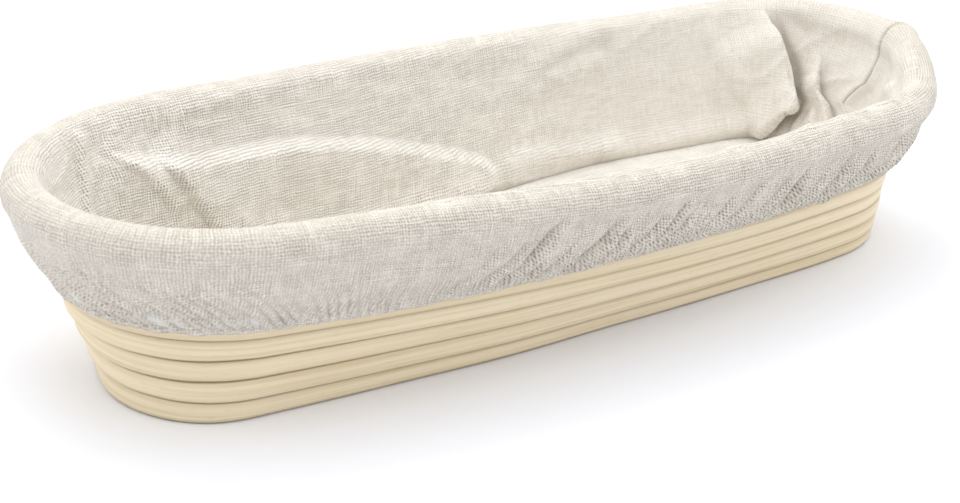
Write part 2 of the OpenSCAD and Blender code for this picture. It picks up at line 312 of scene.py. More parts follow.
def cloth_material():
    """Plain-woven linen: uneven threads with dark gaps between them, and slubs; painted paler inside
    the liner and on the floor's back edge, with painted shade in its folds and seams.
    """
    m = Nodes("linen")
    uv = m.uv("cloth")
    drift = m.math("MULTIPLY", m.noise(uv, (0.30, 0.30, 1), 1), 1.1)
    jitter = m.math("MULTIPLY", m.noise(uv, (1.2, 1.2, 1), 1), 0.45)
    wander = m.math("ADD", drift, jitter)
    parts = m.add("ShaderNodeSeparateXYZ")
    m.put(uv, parts.inputs[0])
    warp_mm, weft_mm = 0.88, 0.92

    def wave(axis, thread):
        """A wave with one thread to each half."""
        at = m.math("MULTIPLY", m.math("ADD", parts.outputs[axis], wander), math.pi / thread)
        return m.math("SINE", at)

    def gap(side):
        return m.math("POWER", m.math("SUBTRACT", 1.0, m.math("ABSOLUTE", side)), 1.1)

    warp, weft = wave(0, warp_mm), wave(1, weft_mm)
    over = m.math("MULTIPLY", warp, weft)
    warp_gap, weft_gap = gap(warp), gap(weft)
    lines = m.math("MULTIPLY", m.math("ADD", warp_gap, weft_gap), 0.22)
    open_weave = m.range(m.noise(uv, (0.10, 0.14, 1), 2, 0.6), 0.35, 0.65, 0.75, 1.15)
    gaps = m.math("MULTIPLY_ADD", m.math("MULTIPLY", warp_gap, weft_gap), 1.5, lines)
    gaps = m.math("MULTIPLY", gaps, open_weave)
    drawn = m.attribute("drawn")
    along = m.noise(uv, (1.3, 0.10, 1), 2, 0.6)
    across = m.noise(uv, (0.10, 1.3, 1), 2, 0.6)
    slub = m.math("ADD", along, across)
    speck = m.noise(uv, (0.9, 0.9, 1), 1, 0.5)
    blotch = m.noise(uv, (0.05, 0.05, 1), 3, 0.55)
    mottle = m.noise(uv, (0.3, 0.3, 1), 2, 0.6)
    # The inside of the liner is painted paler than the cuff: painted light, a lit copy of the same
    # linen.
    inside = m.attribute("inside")
    dull = m.mix(inside, linear(212, 204, 192), linear(225, 219, 210))
    pale = m.mix(inside, linear(238, 231, 220), linear(250, 246, 239))
    # The drawn share makes the cloth paler as well as more uneven, so it also paints light and shade
    # round the girth.
    uneven = m.math("MULTIPLY", m.math("SUBTRACT", m.range(slub, 0.78, 1.22), 0.5), drawn)
    even = m.math("MULTIPLY_ADD", drawn, 0.45, 0.07)
    raised = m.math("MULTIPLY", m.range(over, 0.2, 0.9, 0.0, 0.45), drawn)
    parted = m.math("MULTIPLY", m.range(gaps, 0.1, 1.3, 0.0, 0.85), drawn)
    colour = m.tinted(
        m.mix(m.math("ADD", uneven, even), dull, pale),
        # Painted light: a pale tint on the floor's back edge.
        (m.attribute("painted_light"), 252, 249, 243),
        (raised, 249, 246, 239),
        (parted, 128, 120, 107),
        (m.range(speck, 0.64, 0.78, 0.0, 0.30), 140, 132, 118),
        (m.range(blotch, 0.35, 0.7, 0.0, 0.10), 190, 182, 168),
        (m.range(mottle, 0.4, 0.65, 0.0, 0.12), 190, 182, 168),
        # Painted shade in puckers, creases, seams and under laps.
        (m.math("MULTIPLY", m.attribute("fold"), 0.7), 120, 111, 97),
    )
    m.set(Base_Color=colour, Roughness=0.95, Specular_IOR_Level=0.15)
    m.set(Sheen_Weight=0.2, Sheen_Roughness=0.6)
    tops = m.math("ADD", m.math("MULTIPLY", slub, 0.8), m.math("MULTIPLY", over, 0.3))
    m.bump(m.math("MULTIPLY", m.math("SUBTRACT", tops, gaps), drawn), 0.6, 0.0003)
    return m.material


def cane_material():
    """Peeled cane: long fibres, streaks and pores, with painted shade in the grooves between turns.
    """
    m = Nodes("cane")
    uv = m.uv("cane")
    fibre = m.noise(uv, (0.05, 3.2, 1), 3, 0.6)
    streak = m.noise(uv, (0.012, 0.9, 1), 2, 0.5)
    tone = m.noise(uv, (0.006, 0.12, 1), 2, 0.5)
    pore = m.noise(uv, (0.16, 4.0, 1), 1, 0.5)
    speck = m.noise(uv, (0.35, 0.6, 1), 1, 0.5)
    colour = m.tinted(
        linear(249, 234, 204),
        (m.range(tone, 0.3, 0.7), 243, 226, 193),
        (m.range(streak, 0.42, 0.72, 0.0, 0.65), 222, 202, 160),
        (m.range(fibre, 0.35, 0.75, 0.0, 0.30), 248, 238, 212),
        (m.range(pore, 0.66, 0.76, 0.0, 0.35), 172, 138, 88),
        (m.range(speck, 0.79, 0.84, 0.0, 0.4), 120, 88, 50),
        # Painted shade: the grooves between the turns are darkened.
        (m.math("MULTIPLY", m.attribute("groove_shade"), 0.66), 142, 114, 70),
    )
    m.set(Base_Color=colour, Roughness=0.55, Specular_IOR_Level=0.35)
    height = m.math("ADD", m.math("MULTIPLY", fibre, 0.7), m.math("MULTIPLY", pore, -0.3))
    m.bump(height, 0.35, 0.0003)
    return m.material


def steel_material():
    """Bright drawn wire."""
    m = Nodes("wire")
    place = m.add("ShaderNodeTexCoord").outputs["Object"]
    drawn = m.noise(place, (4000, 4000, 400), 2)
    m.set(
        Base_Color=m.mix(drawn, linear(150, 150, 148), linear(190, 190, 186)),
        Metallic=1.0,
        Roughness=m.range(drawn, 0.3, 0.7, 0.3, 0.5),
    )
    return m.material


def thread_material(name, r, g, b):
    """Twisted yarn in one colour."""
    m = Nodes(name)
    place = m.add("ShaderNodeTexCoord").outputs["Object"]
    ply = m.noise(place, (3000, 3000, 3000), 2)
    dark = linear(r * 0.86, g * 0.86, b * 0.86)
    m.set(Base_Color=m.mix(m.range(ply, 0.35, 0.7), linear(r, g, b), dark), Roughness=0.85)
    m.bump(ply, 0.4, 0.0001)
    return m.material


CLOTH = cloth_material()
CANE = cane_material()
WIRE = steel_material()
THREAD = thread_material("thread", 244, 242, 236)
BAND = thread_material("elastic_cover", 238, 236, 230)


# Meshes


def mesh_object(name, points, faces, material, uv=None, uv_name="uv", attributes=None):
    """A piece from points in millimetres and faces with equally many corners."""
    mesh = bpy.data.meshes.new(name)
    faces = np.asarray(faces, np.int32)
    count, size = faces.shape
    mesh.vertices.add(len(points))
    mesh.vertices.foreach_set("co", (np.asarray(points, np.float32) * MM).ravel())
    mesh.loops.add(count * size)
    mesh.loops.foreach_set("vertex_index", faces.ravel())
    mesh.polygons.add(count)
    mesh.polygons.foreach_set("loop_start", np.arange(0, count * size, size, dtype=np.int32))
    mesh.polygons.foreach_set("loop_total", np.full(count, size, np.int32))
    mesh.polygons.foreach_set("use_smooth", np.ones(count, bool))
    if uv is not None:
        layer = mesh.uv_layers.new(name=uv_name)
        layer.data.foreach_set("uv", np.asarray(uv, np.float32)[faces.ravel()].ravel())
    for key, values in (attributes or {}).items():
        attribute = mesh.attributes.new(key, "FLOAT", "POINT")
        attribute.data.foreach_set("value", np.asarray(values, np.float32))
    mesh.update(calc_edges=True)
    mesh.validate()
    mesh.materials.append(material)
    piece = bpy.data.objects.new(name, mesh)
    bpy.context.collection.objects.link(piece)
    return piece


def grid_faces(rows, columns, closed_rows=False, closed_columns=False):
    """Quads over points in rows and columns."""
    r = np.arange(rows if closed_rows else rows - 1)
    c = np.arange(columns if closed_columns else columns - 1)
    r, c = np.meshgrid(r, c, indexing="ij")
    r1, c1 = (r + 1) % rows, (c + 1) % columns
    quads = [r * columns + c, r * columns + c1, r1 * columns + c1, r1 * columns + c]
    return np.stack(quads, -1).reshape(-1, 4)


def cap_faces(ring, centre):
    """A fan of flat quads over an end ring with an even number of points."""
    n = len(ring)
    return [[centre, ring[k], ring[(k + 1) % n], ring[(k + 2) % n]] for k in range(0, n, 2)]


# Cane: each length is one unbroken winding, with this many rings to one of the solids.
WALL_FINE, BASE_FINE = 10, 8
# Each turn leans less than the wall as a whole.
TURN_LEAN = 0.45
# The lowest edge, on the floor, is a little rounder: how far its first points move in and up.
FLOOR_EDGE_IN, FLOOR_EDGE_UP = [0.6, 0.45, 0.15], [0.0, 0.25, 0.5]
# For the grain: about how long a turn of the base is, and how far it is round its cane.
BASE_TURN_MM, BASE_ROUND_MM = 560.0, 12.0


def cane_section(low, high, crown=0.12, edge=0.42):
    """Points across the cane from its lower outer edge, up the face and back by the inside."""
    h = high - low
    e = np.minimum(edge, h / 4)
    # Each point's offset from the face, its height, and how deep it lies in the groove, which sets
    # its painted shade.
    rows = [
        (-1.3 * e, low, 1.0),
        (-0.35 * e, low + 0.3 * e, 0.8),
        (0.0, low + e, 0.25),
        (0.75 * crown, low + 0.28 * h, 0.0),
        (crown, low + 0.5 * h, 0.0),
        (0.75 * crown, low + 0.72 * h, 0.0),
        (0.0, high - e, 0.35),
        (-0.35 * e, high - 0.3 * e, 0.9),
        (-1.3 * e, high, 1.0),
        (-0.55 * CANE_T, high, 1.0),
        (-0.82 * CANE_T, high - 0.12 * h, 0.6),
        (-0.97 * CANE_T, high - 0.32 * h, 0.1),
        (-CANE_T, low + 0.5 * h, 0.0),
        (-0.97 * CANE_T, low + 0.32 * h, 0.1),
        (-0.82 * CANE_T, low + 0.12 * h, 0.6),
        (-0.55 * CANE_T, low, 1.0),
    ]
    n = np.stack([np.broadcast_to(q[0], h.shape) for q in rows], -1)
    z = np.stack([np.broadcast_to(q[1], h.shape) for q in rows], -1)
    return n, z, np.array([q[2] for q in rows])


def winding(name, points, uv, groove_shade, turned=False):
    """A closed length of cane from rings of points, with a cap on either end."""
    m, k = points.shape[:2]
    way = -1 if turned else 1
    flat = points.reshape(-1, 3)
    ends = np.array([flat[:k].mean(0), flat[-k:].mean(0)])
    faces = list(grid_faces(m, k, closed_columns=True)[:, ::way])
    faces += cap_faces(list(range(k))[::-way], len(flat))
    faces += cap_faces(list(range((m - 1) * k, m * k))[::way], len(flat) + 1)
    uv = np.concatenate([uv.reshape(-1, 2), uv[0, :1], uv[-1, :1]])
    groove_shade = {"groove_shade": np.concatenate([np.tile(groove_shade, m), [0, 0]])}
    return mesh_object(name, np.vstack([flat, ends]), faces, CANE, uv, "cane", groove_shade)


def wall_cane(name, first, last, seam=0.16):
    """The wall's winding between two rings of the solids, with finer rings and a hand's wobble."""
    rings = np.linspace(first, last, (last - first) * WALL_FINE + 1)
    t = COIL_FROM + rings / TURN_STEPS
    ramp = 0.1 / TURN_STEPS
    lift = smooth((t - (COIL_FROM + 1 - ramp)) / ramp)
    low = lift * (PITCH * (t - 1) + seam / 2)
    drop = smooth((COIL_TO - 1 + ramp - t) / ramp)
    high = drop * (PITCH * t - seam / 2) + (1 - drop) * WALL_H

    # The line between two turns wavers, and both turns follow it.
    def waver(turn):
        slow = 0.16 * grid_noise(turn * 14.0, 0 * turn + 3.5, 11)
        return slow + 0.10 * grid_noise(turn * 41.0, 0 * turn + 8.5, 12)

    low = low + np.where(lift > 0.99, waver(t - 1), 0)
    high = high + np.where(drop > 0.99, waver(t), 0)
    around = share_of(COIL_AT - rings)
    low, high = stretch_up(low, around), stretch_up(high, around)
    mid = (low + high) / 2
    n, z, groove_shade = cane_section(low, high)
    on_floor = (lift < 0.5)[:, None]
    edge_points = len(FLOOR_EDGE_IN)
    n[:, :edge_points] -= on_floor * np.array(FLOOR_EDGE_IN)
    z[:, :edge_points] += on_floor * np.array(FLOOR_EDGE_UP)
    swell = 0.22 * grid_noise(rings / 5.0, 0 * rings + 0.5, 21)
    swell = swell + 0.10 * grid_noise(rings / 1.7, 0 * rings + 0.5, 22)
    p, d = oval_steps(*FOOT, COIL_AT - rings)
    lean = lean_at(mid)[:, None] + foot_out(around, mid)[:, None]
    out = lean + TURN_LEAN * (lean_at(z) - lean_at(mid)[:, None]) + n + swell[:, None]
    points = off_plan(p[:, None], d[:, None], out, np.maximum(z, 0))
    middle = len(z) // 2
    along = lengths_along(p) + 1000 * first
    across = lengths_along(np.stack([n[middle], z[middle]], -1))
    return winding(name, points, np.stack(np.meshgrid(along, across, indexing="ij"), -1), groove_shade)


def base_cane(name):
    """The base, wound flat inside the lowest turn of the wall."""
    start, stop = BASE_FROM / TURN_STEPS, BASE_TO / TURN_STEPS
    t = np.linspace(start, stop, BASE_RINGS * BASE_FINE + 1)
    gap = 0.4
    ramp = 1.0 / TURN_STEPS
    lift = smooth((t - (start + 1 - ramp)) / ramp)
    outer = lift * (BASE_PITCH * (t - 1) + gap / 2)
    inner = np.minimum(BASE_PITCH * t, BASE_B - gap / 2) - gap / 2
    # Across the cane: share of its width, share of its thickness, and how deep in a groove, which
    # sets its painted shade.
    rows = [
        (0.10, 0.0, 0.6), (0.03, 0.12, 1.0), (0.0, 0.42, 1.0), (0.05, 0.72, 0.8), (0.18, 0.92, 0.3),
        (0.36, 1.0, 0.0), (0.64, 1.0, 0.0), (0.82, 0.92, 0.3), (0.95, 0.72, 0.8), (1.0, 0.42, 1.0),
        (0.97, 0.12, 1.0), (0.90, 0.0, 0.6),
    ]
    points, uv = [], []
    steps = COIL_AT - TURN_STEPS * (t - start)
    for f, z, _ in rows:
        d = outer + f * (inner - outer)
        left = 1 - d / BASE_B
        p, outward = oval_steps(BASE_A - d, BASE_B - d, BASE_R * (BASE_B - d) / BASE_B, steps)
        p = p + outward * (foot_out(share_of(steps), 0 * t) * left)[:, None]
        points.append(np.stack([p[:, 0], p[:, 1], 0 * t + z * BASE_T], -1))
        uv.append(np.stack([t * BASE_TURN_MM, 0 * t + f * BASE_ROUND_MM], -1))
    groove_shade = [row[2] for row in rows]
    return winding(name, np.stack(points, 1), np.stack(uv, 1), groove_shade, turned=True)


canes = {
    "base_cane": base_cane("cane_base"),
    "wall_cane_lower": wall_cane("cane_wall_lower", 0, LOWER_RINGS),
    "wall_cane_middle": wall_cane("cane_wall_middle", LOWER_RINGS, MIDDLE_RINGS),
    "wall_cane_upper": wall_cane("cane_wall_upper", MIDDLE_RINGS, COIL_RINGS),
}
for node, piece in canes.items():
    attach(piece, "basket")
    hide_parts(node)


# Brads: short wire nails through two turns, where the solids have them.
BRAD_D, BRAD_L, BRAD_SIDES = 1.2, 8.0, 10
WALL_BRAD_STEP, BASE_BRAD_STEP = TURN_STEPS / 6.5, TURN_STEPS / 4.5
WALL_BRAD_FIRST = TURN_STEPS + 6
# Places along a nail, as shares of its length, with the radius there as a share of its width.
BRAD_PROFILE = ((-0.5, 0.0), (-0.5, 0.5), (0.42, 0.5), (0.5, 0.06))
BRAD_HEIGHT = 0.45 * BASE_T


def wall_middle(ring):
    """The middle of the wall's cane at a ring of the solids."""
    t = COIL_FROM + ring / TURN_STEPS
    low = 0.0 if t < COIL_FROM + 1 else PITCH * (t - 1)
    high = WALL_H if t > COIL_TO - 1 else PITCH * t
    share = share_of(COIL_AT - ring)
    z = stretch_up((low + high) / 2, share)
    p, d = oval_steps(*FOOT, COIL_AT - ring)
    out = lean_at(z) + foot_out(share, z) - CANE_T / 2
    return off_plan(p, d, out, z)


def base_middle(k):
    """The middle of the base's cane, k steps along it."""
    turn = (BASE_FROM + k) / TURN_STEPS
    outer = 0.0 if k < TURN_STEPS else BASE_PITCH * (turn - 1)
    inset = (outer + min(BASE_PITCH * turn, BASE_B)) / 2
    left = (BASE_B - inset) / BASE_B
    p, d = oval_steps(BASE_A - inset, BASE_B - inset, BASE_R * left, COIL_AT - k)
    p = p + d * foot_out(share_of(COIL_AT - k), 0.0) * left
    return np.array([p[0], p[1], BRAD_HEIGHT])


def brads(name, pairs):
    """Nails of one length, each midway between two points and along the way from one to the other."""
    angle = np.arange(BRAD_SIDES) * 2 * math.pi / BRAD_SIDES
    verts, faces = [], []
    for a, b in pairs:
        way = unit(b - a)
        side = unit(np.cross(way, (0.3, 0.9, 0.1)))
        round_it = np.outer(np.cos(angle), side) + np.outer(np.sin(angle), np.cross(way, side))
        base = len(verts) * BRAD_SIDES
        for along, size in BRAD_PROFILE:
            verts.append((a + b) / 2 + way * BRAD_L * along + round_it * BRAD_D * size)
        faces.append(grid_faces(len(BRAD_PROFILE), BRAD_SIDES, closed_columns=True) + base)
    return mesh_object(name, np.vstack(verts), np.vstack(faces), WIRE)


# Rings with a nail into the turn beside them, counted as the solids count them.
SLIP = 0.01
EDGE_BRAD_FIRST = WALL_BRAD_FIRST - TURN_STEPS + WALL_BRAD_STEP / 2
wall_rings = np.arange(WALL_BRAD_FIRST, COIL_RINGS - 2 + SLIP, WALL_BRAD_STEP)
base_rings = np.arange(BASE_RINGS - TURN_STEPS / 2, TURN_STEPS - SLIP, -BASE_BRAD_STEP)
edge_rings = np.arange(EDGE_BRAD_FIRST, TURN_STEPS - 1 + SLIP, 2 * WALL_BRAD_STEP)
wall_pairs = [(wall_middle(round(k)), wall_middle(round(k) - TURN_STEPS)) for k in wall_rings]
base_pairs = [(base_middle(round(k)), base_middle(round(k) - TURN_STEPS)) for k in base_rings]
base_pairs += [(base_middle(round(k)), wall_middle(round(k))) for k in edge_rings]
for node, pairs in (("wall_brads", wall_pairs), ("base_brads", base_pairs)):
    nails = brads(node + "_wire", pairs)
    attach(nails, "basket")
    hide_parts(node)


# Liner. Rows run from the floor seam over the rim to the hem, columns once round the girth.
COLUMNS = 1920
SIDE_ROWS = 136
FLOOR_ROWS = 26
# The floor panel's height on the base, its least height, and half the width of its middle strip.
FLOOR_Z, FLOOR_LEAST_Z, FLOOR_MIDDLE = 6.6, 6.2, 0.6
CLOTH_T = 0.55

# How the sewn cloth sits round the girth: the floor seam's height, how far the rim stands up,
# how much closer the cuff lies to the wall, and how far up the hem is drawn.
SEAM_Z = by_girth(
    (0, 20), (0.05, 20), (0.1, 18.3), (0.16, 18), (0.21, 15.5), (0.25, 12.5), (0.3, 9.5),
    (0.62, 9), (0.88, 9.5), (0.95, 13),
)
RIM_UP = by_girth(
    (0, 3.8), (0.015, 3.8), (0.03, 3), (0.06, 1.2), (0.09, -1), (0.13, -1.2), (0.18, 0),
    (0.34, 0), (0.385, 1.6), (0.43, 0.2), (0.48, 0), (0.53, 1.2),
    (0.58, 1.2), (0.64, 0), (0.7, -2), (0.75, -3.6), (0.8, -4), (0.85, -4.3), (0.9, -4.8),
    (0.945, -4.4), (0.97, 0.6), (0.985, 3.6),
)
CUFF_IN = by_girth(
    (0, 3.2), (0.06, 1.8), (0.25, 1), (0.45, 2.8), (0.52, 3.4), (0.57, 2.5), (0.63, 1),
    (0.7, 0.3), (0.85, 0.3), (0.93, 2), (0.965, 3.5),
)
HEM_UP = by_girth(
    (0, 0.5), (0.06, 0.5), (0.25, 0), (0.45, 2), (0.52, 2.2), (0.58, 1.8), (0.63, 0.4),
    (0.7, -1), (0.8, -0.5), (0.9, 0.3),
)

# The cloth's line over the rim: offset from the wall's outer face at that height, and height.
ROLL_O, ROLL_Z, ROLL_R = 15.7, 60.6, 6.0
INSIDE_Z = [20.0, 30.0, 40.0, 50.0, 57.5]
INSIDE_GAP = [8.6, 8.3, 8.1, 7.9, 7.7]
CUFF_Z = [55.0, 50.5, 46.0, 41.5, 38.0, 34.5]
CUFF_GAP = [5.8, 6.3, 6.7, 6.2, 4.9, 3.3]
SEAM_GAP, HEM_GAP, HEM_GAP_LEAST = 9.0, 2.0, 1.5
ROLL_DEGREES = (165, 140, 115, 90, 65, 40, 12, -12)
# Shares of CUFF_IN at the top of the cuff and at the hem.
CUFF_IN_TOP, CUFF_IN_HEM = 0.4, 0.3
HEM_TURN = [(1.4, -0.35), (0.85, 0.2), (0.7, 1.6)]


def side_line(s):
    """The line of the band from the floor seam over the rim to the hem, at a share of the girth."""
    seam, up, hem = SEAM_Z(s), RIM_UP(s), HEM_Z + HEM_UP(s)
    pts = [(lean_at(seam) - SEAM_GAP, seam)]
    for z, gap in zip(INSIDE_Z, INSIDE_GAP):
        at = z * (1 + up / ROLL_Z)
        if at > seam + 2:
            pts.append((lean_at(at) - gap, at))
    for degrees in ROLL_DEGREES:
        angle = math.radians(degrees)
        pts.append((ROLL_O + ROLL_R * math.cos(angle), ROLL_Z + up + ROLL_R * math.sin(angle)))
    stretch = (CUFF_Z[0] + up - hem) / (CUFF_Z[0] - HEM_Z)
    for z, gap in zip(CUFF_Z, CUFF_GAP):
        share = (CUFF_Z[0] - z) / (CUFF_Z[0] - HEM_Z)
        at = hem + (z - HEM_Z) * stretch
        drawn_in = CUFF_IN(s) * min(1.0, CUFF_IN_TOP + share)
        pts.append((lean_at(at) + gap - drawn_in, at))
    hem_gap = max(HEM_GAP - CUFF_IN_HEM * CUFF_IN(s), HEM_GAP_LEAST)
    pts.append((lean_at(hem) + hem_gap, hem))
    for gap, rise in HEM_TURN:
        pts.append((lean_at(hem) + gap, hem + rise))
    return np.array(pts)


def resample(pts, shares):
    """Points along a smooth curve through pts, at shares of its length."""
    chord = lengths_along(pts)
    k = len(pts)
    tangent = np.gradient(pts, chord, axis=0)
    fine = np.linspace(0, chord[-1], 500)
    i = np.clip(np.searchsorted(chord, fine, "right") - 1, 0, k - 2)
    h = (chord[i + 1] - chord[i])[:, None]
    f = ((fine - chord[i])[:, None]) / h
    curve = (
        (2 * f**3 - 3 * f**2 + 1) * pts[i]
        + (f**3 - 2 * f**2 + f) * h * tangent[i]
        + (-2 * f**3 + 3 * f**2) * pts[i + 1]
        + (f**3 - f**2) * h * tangent[i + 1]
    )
    along = lengths_along(curve)
    want = np.asarray(shares) * along[-1]
    return np.stack([np.interp(want, along, curve[:, j]) for j in (0, 1)], -1), along[-1]


columns = np.arange(COLUMNS) / COLUMNS
shares = np.linspace(0, 1, SIDE_ROWS)
lines, lengths = zip(*(resample(side_line(s), shares) for s in columns))
line_length = np.array(lengths)

# The offset and the height of each point, by row and column.
offset, height = np.array(lines)[:, :, 0].T.copy(), np.array(lines)[:, :, 1].T.copy()
seam_heights, hem_heights = SEAM_Z(columns), HEM_Z + HEM_UP(columns)
tangent = np.stack([np.gradient(offset, axis=0), np.gradient(height, axis=0)])
tangent /= np.linalg.norm(tangent, axis=0)
normal_o, normal_z = -tangent[1], tangent[0]
row_share = np.repeat(shares[:, None], COLUMNS, 1)
top_rows = np.argmax(height, axis=0)
is_inside = np.arange(SIDE_ROWS)[:, None] < top_rows
girth_mm = np.repeat((columns * GIRTH)[None, :], SIDE_ROWS, 0)


def nearest(points):
    """Distance to the left of a line of (share of girth, height), place along it, and the way off."""
    pts = np.array([(s * GIRTH, z) for s, z in points])
    u = girth_mm - pts[:, 0].mean()
    u = (u + GIRTH / 2) % GIRTH - GIRTH / 2 + pts[:, 0].mean()
    best, side, along = np.full(u.shape, 1e9), np.zeros(u.shape), np.zeros(u.shape)
    way = np.zeros((2, *u.shape))
    cuts = lengths_along(pts)
    for k in range(len(pts) - 1):
        a, w = pts[k], pts[k + 1] - pts[k]
        f = np.clip(((u - a[0]) * w[0] + (height - a[1]) * w[1]) / (w @ w), 0, 1)
        off = np.stack([u - a[0] - f * w[0], height - a[1] - f * w[1]])
        d = np.hypot(*off)
        better = d < best
        way = np.where(better, off / np.maximum(d, 1e-6), way)
        best = np.where(better, d, best)
        side = np.where(better, w[0] * (height - a[1]) - w[1] * (u - a[0]), side)
        along = np.where(better, (cuts[k] + f * np.hypot(*w)) / cuts[-1], along)
    return best * np.sign(side), along, way


def ridge(points, depth, left, right, taper=0.15):
    """A soft fold along a line, with a width on either side of it."""
    d, along, _ = nearest(points)
    fade = smooth(along / taper) * smooth((1 - along) / taper)
    return depth * hump(d, np.where(d > 0, left, right)) * fade


def step(points, depth, face, reach, raised, lap=0.0, taper=(0.15, 0.15)):
    """A step along a line: on its raised side the cloth stands in, laps over it and runs back.

    Gives the push in, the shifts along the girth and up, and painted shade under the lap and just
    past its edge.
    """
    d, along, way = nearest(points)
    d = d * raised
    fade = smooth(along / taper[0]) * smooth((1 - along) / taper[1])
    rise = smooth(d / face) * hump(np.maximum(d - face, 0), reach) * fade
    covered = hump(np.maximum(face - lap - d, 0), 2.0)
    shade = min(lap / 4, 1) * covered * smooth(0.5 - d / face) * fade
    return np.stack([depth * rise, -lap * way[0] * rise, -lap * way[1] * rise, shade])


# Steps inside, read off the photograph: points, depth, width of the face, reach, raised side,
# lap and tapers.
INSIDE_STEPS = [
    ([(0.214, 18), (0.220, 25), (0.230, 29.8), (0.243, 33.5), (0.259, 36.8), (0.285, 42.3),
      (0.307, 45.4), (0.323, 47.4), (0.343, 48.8), (0.362, 49.6), (0.381, 51.1), (0.399, 53.2),
      (0.418, 56.6), (0.430, 58.5)], 7.0, 5.5, 19, -1, 0.0, (0.10, 0.10)),
    ([(0.425, 56), (0.414, 48.6), (0.406, 44), (0.400, 37.7), (0.396, 31)], 3.2, 3.6, 9, -1, 0.6),
    ([(0.402, 51), (0.398, 47.5), (0.393, 42.9), (0.389, 38.3), (0.383, 31.9), (0.377, 25.4),
      (0.371, 17)], 4.4, 3.4, 13, -1, 1.0),
    ([(0.057, 68), (0.055, 64), (0.052, 59), (0.049, 53.5), (0.042, 45.6), (0.037, 39),
      (0.033, 31)], 8.0, 1.6, 22, 1, 4.5, (0.42, 0.08)),
    ([(0.031, 56), (0.026, 46), (0.019, 39), (0.012, 31.7), (0.010, 24)],
     4.4, 1.8, 6, 1, 2.6, (0.45, 0.1)),
    ([(0.062, 19), (0.056, 22.5), (0.048, 25.4), (0.041, 30), (0.034, 31.5), (0.031, 35)],
     6.0, 1.4, 9, -1, 3.5),
]
# Soft folds inside: points, depth, and widths on either side.
INSIDE_RIDGES = [
    ([(0.429, 67), (0.433, 60), (0.437, 53), (0.442, 44), (0.446, 32)], 2.0, 1.6, 3.0),
    ([(0.388, 61), (0.370, 62.5), (0.350, 63)], 0.9, 2.5, 2.5),
    ([(0.382, 57.5), (0.366, 56.5), (0.350, 57.5)], 0.9, 2.0, 2.0),
    ([(0.365, 25), (0.351, 21), (0.336, 22)], 1.8, 2.5, 3.0),
    ([(0.200, 53), (0.171, 60), (0.140, 64)], 1.9, 3.0, 5.0),
    ([(0.205, 45), (0.180, 51), (0.150, 55)], 1.6, 4.0, 4.0),
    ([(0.215, 38), (0.190, 33), (0.160, 30)], 1.0, 4.0, 5.0),
    ([(0.225, 22), (0.205, 25), (0.176, 25), (0.145, 23.5)], 2.4, 3.0, 3.5),
    ([(0.090, 62), (0.080, 45), (0.072, 30)], 1.0, 4.0, 5.0),
    ([(0.049, 26), (0.045, 24)], 2.5, 2.0, 2.0),
    ([(0.046, 70), (0.043, 60), (0.038, 50), (0.031, 40)], -2.0, 6.0, 6.0),
    ([(0.034, 28), (0.028, 26), (0.020, 30)], 3.5, 3.5, 3.5),
    ([(0.520, 58), (0.530, 40), (0.545, 22)], 2.4, 4.0, 4.0),
    ([(0.580, 20), (0.600, 40), (0.640, 50)], 2.2, 4.0, 6.0),
    ([(0.700, 22), (0.740, 35), (0.780, 38)], 1.8, 5.0, 6.0),
    ([(0.850, 20), (0.880, 38), (0.900, 55)], 2.2, 5.0, 4.0),
    ([(0.940, 24), (0.955, 40), (0.960, 58)], 2.6, 4.0, 4.0),
]

inside_step = sum(step(*f) for f in INSIDE_STEPS)
inside_push = inside_step[0] + sum(ridge(*f) for f in INSIDE_RIDGES)
inside_fade = smooth((height - seam_heights) / 5) * smooth((68 - height) / 5)
slack = girth_noise(girth_mm, 34, height / 26, 31) * 0.6
slack += girth_noise(girth_mm, 13, height / 12, 32) * 0.30
crumple = 1 - 2 * np.abs(grid_noise((girth_mm + height) / 24, (height - 0.3 * girth_mm) / 19, 33))
slack += 0.7 * np.maximum(crumple, 0) ** 2 * smooth(np.minimum(columns, 1 - columns) / 0.01)
over_seam = hump(height - seam_heights - 4.5, 4.0)
push = np.where(is_inside, (inside_push + slack + 0.4) * inside_fade + 2.4 * over_seam, 0)
shift_u = np.where(is_inside, inside_step[1] * inside_fade, 0)
shift_z = np.where(is_inside, inside_step[2] * inside_fade - 1.6 * over_seam, 0)

# The cuff: fine puckers that the elastic draws in, and slanting creases towards the right end.
CREASE_FROM, CREASE_STEP = 0.665, 0.0105
CREASE_WEAK_FROM, CREASE_WEAK_OVER = 0.88, 0.04
PUCKER_SLANT = by_girth(
    (0, 0.6), (0.25, 0), (0.48, -0.9), (0.57, -0.9), (0.62, -0.4), (0.66, 0.2), (0.72, 0.6),
    (0.9, 0.9),
)
PUCKER_MM = by_girth(
    (0, 3), (0.25, 3.2), (0.47, 4.4), (0.56, 4.2), (0.6, 3.4), (0.66, 2.9), (0.9, 2.9)
)
PUCKER_DEPTH = by_girth(
    (0, 1), (0.42, 1), (0.5, 2), (0.56, 1.8), (0.585, 0.9), (0.66, 0.6), (0.72, 1.1)
)
PUCKER_REACH = by_girth(
    (0, 8), (0.25, 6), (0.5, 10), (0.57, 9), (0.63, 7), (0.72, 7.5)
)
over_hem = np.where(is_inside, 99.0, np.maximum(height - hem_heights, 0))
pucker_slant = PUCKER_SLANT(columns) * np.minimum(over_hem, 20)
pucker_u = girth_mm - pucker_slant
uneven = 0.5 * girth_noise(pucker_u, 7, height / 14, 41)
places = np.linspace(-40, GIRTH + 40, 4000)
counted = np.cumsum((places[1] - places[0]) / PUCKER_MM(places / GIRTH))
pucker = np.sin(2 * math.pi * (np.interp(pucker_u, places, counted) + uneven))
pucker_size = 0.95 + 0.55 * girth_noise(pucker_u, 6, height / 30, 42)
pucker_size *= PUCKER_DEPTH(columns)
pucker_reach = 1 + 0.5 * girth_noise(girth_mm, 5, 0 * height, 43)
